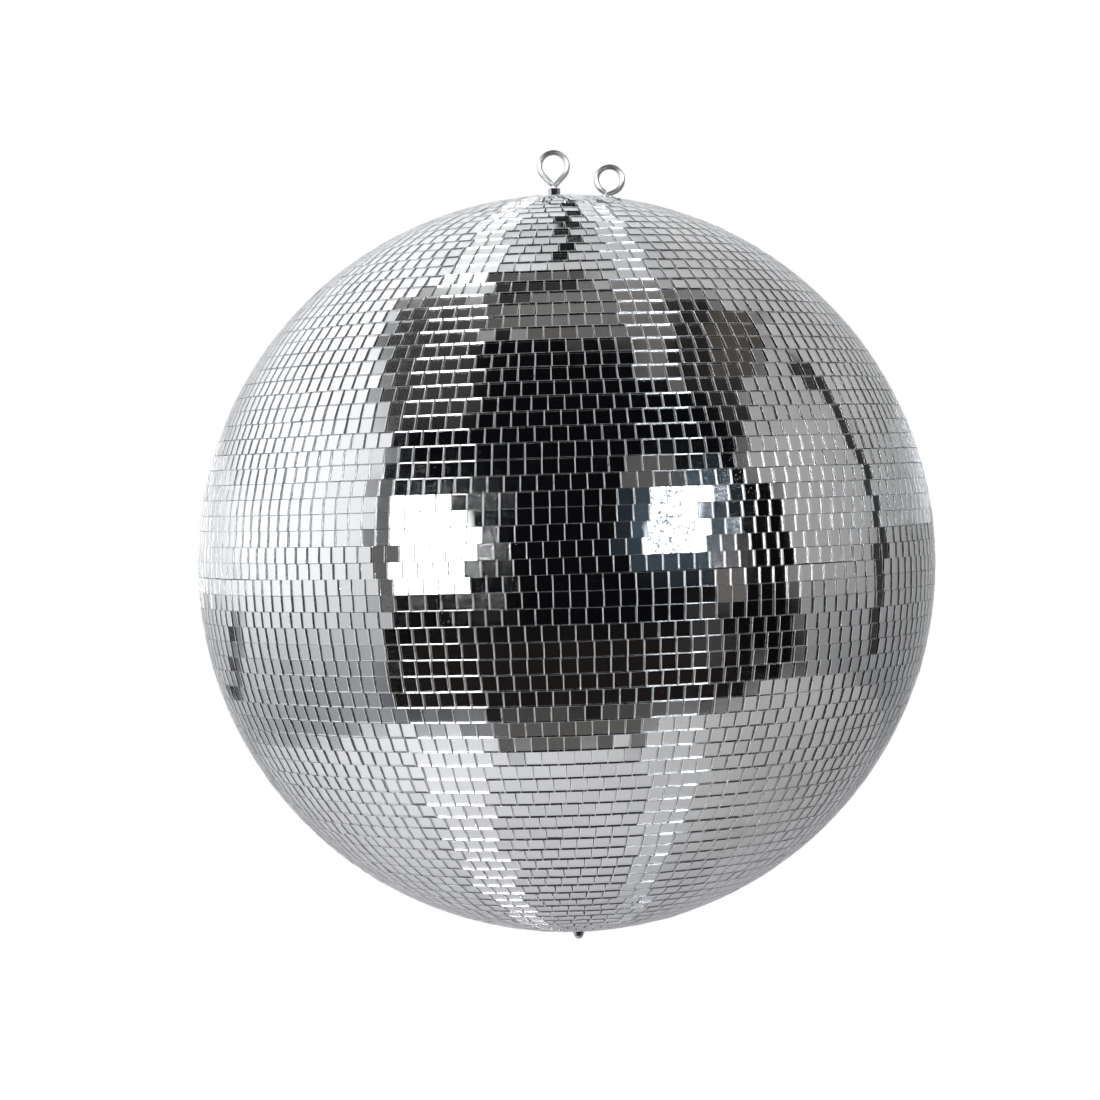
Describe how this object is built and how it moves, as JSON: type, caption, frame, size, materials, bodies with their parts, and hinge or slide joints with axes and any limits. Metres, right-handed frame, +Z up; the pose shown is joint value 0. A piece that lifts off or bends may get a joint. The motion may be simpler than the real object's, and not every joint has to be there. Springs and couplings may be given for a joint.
{
  "type": "mirror ball",
  "caption": "Hollow sphere clad in rows of square mirror tiles, hung on a wire eye and through axle, with a second eye beside it for a safety wire.",
  "frame": {"origin": "where a hook bears under the top of the main eye's loop, on the ball's axis", "axes": "+Z up along the axle, +X towards the safety eye, so the eyes' loops are seen face-on along Y"},
  "size_m": [0.5, 0.5, 0.5386],
  "materials": {
    "mirror_glass": "silvered glass tiles, polished",
    "bright_wire": "bright plated wire",
    "zinc_plated_steel": "bright zinc plate",
    "black_core_plastic": "matt moulded",
    "white_nylon": "natural nylon"
  },
  "bodies": {
    "suspension": {"main_eye": "bright_wire", "eye_lock_nut": "zinc_plated_steel", "eye_spring_washer": "zinc_plated_steel", "eye_washer": "zinc_plated_steel", "rod_coupling_nut": "zinc_plated_steel", "axle_rod": "zinc_plated_steel", "cap_nut_washer": "zinc_plated_steel", "cap_nut": "zinc_plated_steel"},
    "ball": {"upper_core": "black_core_plastic", "lower_core": "black_core_plastic", "joint_ring": "black_core_plastic", "top_bush": "white_nylon", "bottom_bush": "white_nylon", "reinforcement_plate": "zinc_plated_steel", "safety_eye": "bright_wire", "safety_eye_washer": "zinc_plated_steel", "safety_inner_washer": "zinc_plated_steel", "safety_lock_nut": "zinc_plated_steel", "mirror_tiles_upper_01": "mirror_glass", "mirror_tiles_upper_02": "mirror_glass", "mirror_tiles_upper_03": "mirror_glass", "mirror_tiles_upper_04": "mirror_glass", "mirror_tiles_upper_05": "mirror_glass", "mirror_tiles_upper_06": "mirror_glass", "mirror_tiles_upper_07": "mirror_glass", "mirror_tiles_upper_08": "mirror_glass", "mirror_tiles_upper_09": "mirror_glass", "mirror_tiles_upper_10": "mirror_glass", "mirror_tiles_upper_11": "mirror_glass", "mirror_tiles_upper_12": "mirror_glass", "mirror_tiles_upper_13": "mirror_glass", "mirror_tiles_lower_01": "mirror_glass", "mirror_tiles_lower_02": "mirror_glass", "mirror_tiles_lower_03": "mirror_glass", "mirror_tiles_lower_04": "mirror_glass", "mirror_tiles_lower_05": "mirror_glass", "mirror_tiles_lower_06": "mirror_glass", "mirror_tiles_lower_07": "mirror_glass", "mirror_tiles_lower_08": "mirror_glass", "mirror_tiles_lower_09": "mirror_glass", "mirror_tiles_lower_10": "mirror_glass", "mirror_tiles_lower_11": "mirror_glass", "mirror_tiles_lower_12": "mirror_glass", "mirror_tiles_lower_13": "mirror_glass"}
  },
  "joints": [
    {"name": "ball_spin", "type": "hinge", "parent": "suspension", "child": "ball", "pos_m": [0, 0, -0.27767], "axis": [0, 0, 1], "continuous": true}
  ]
}
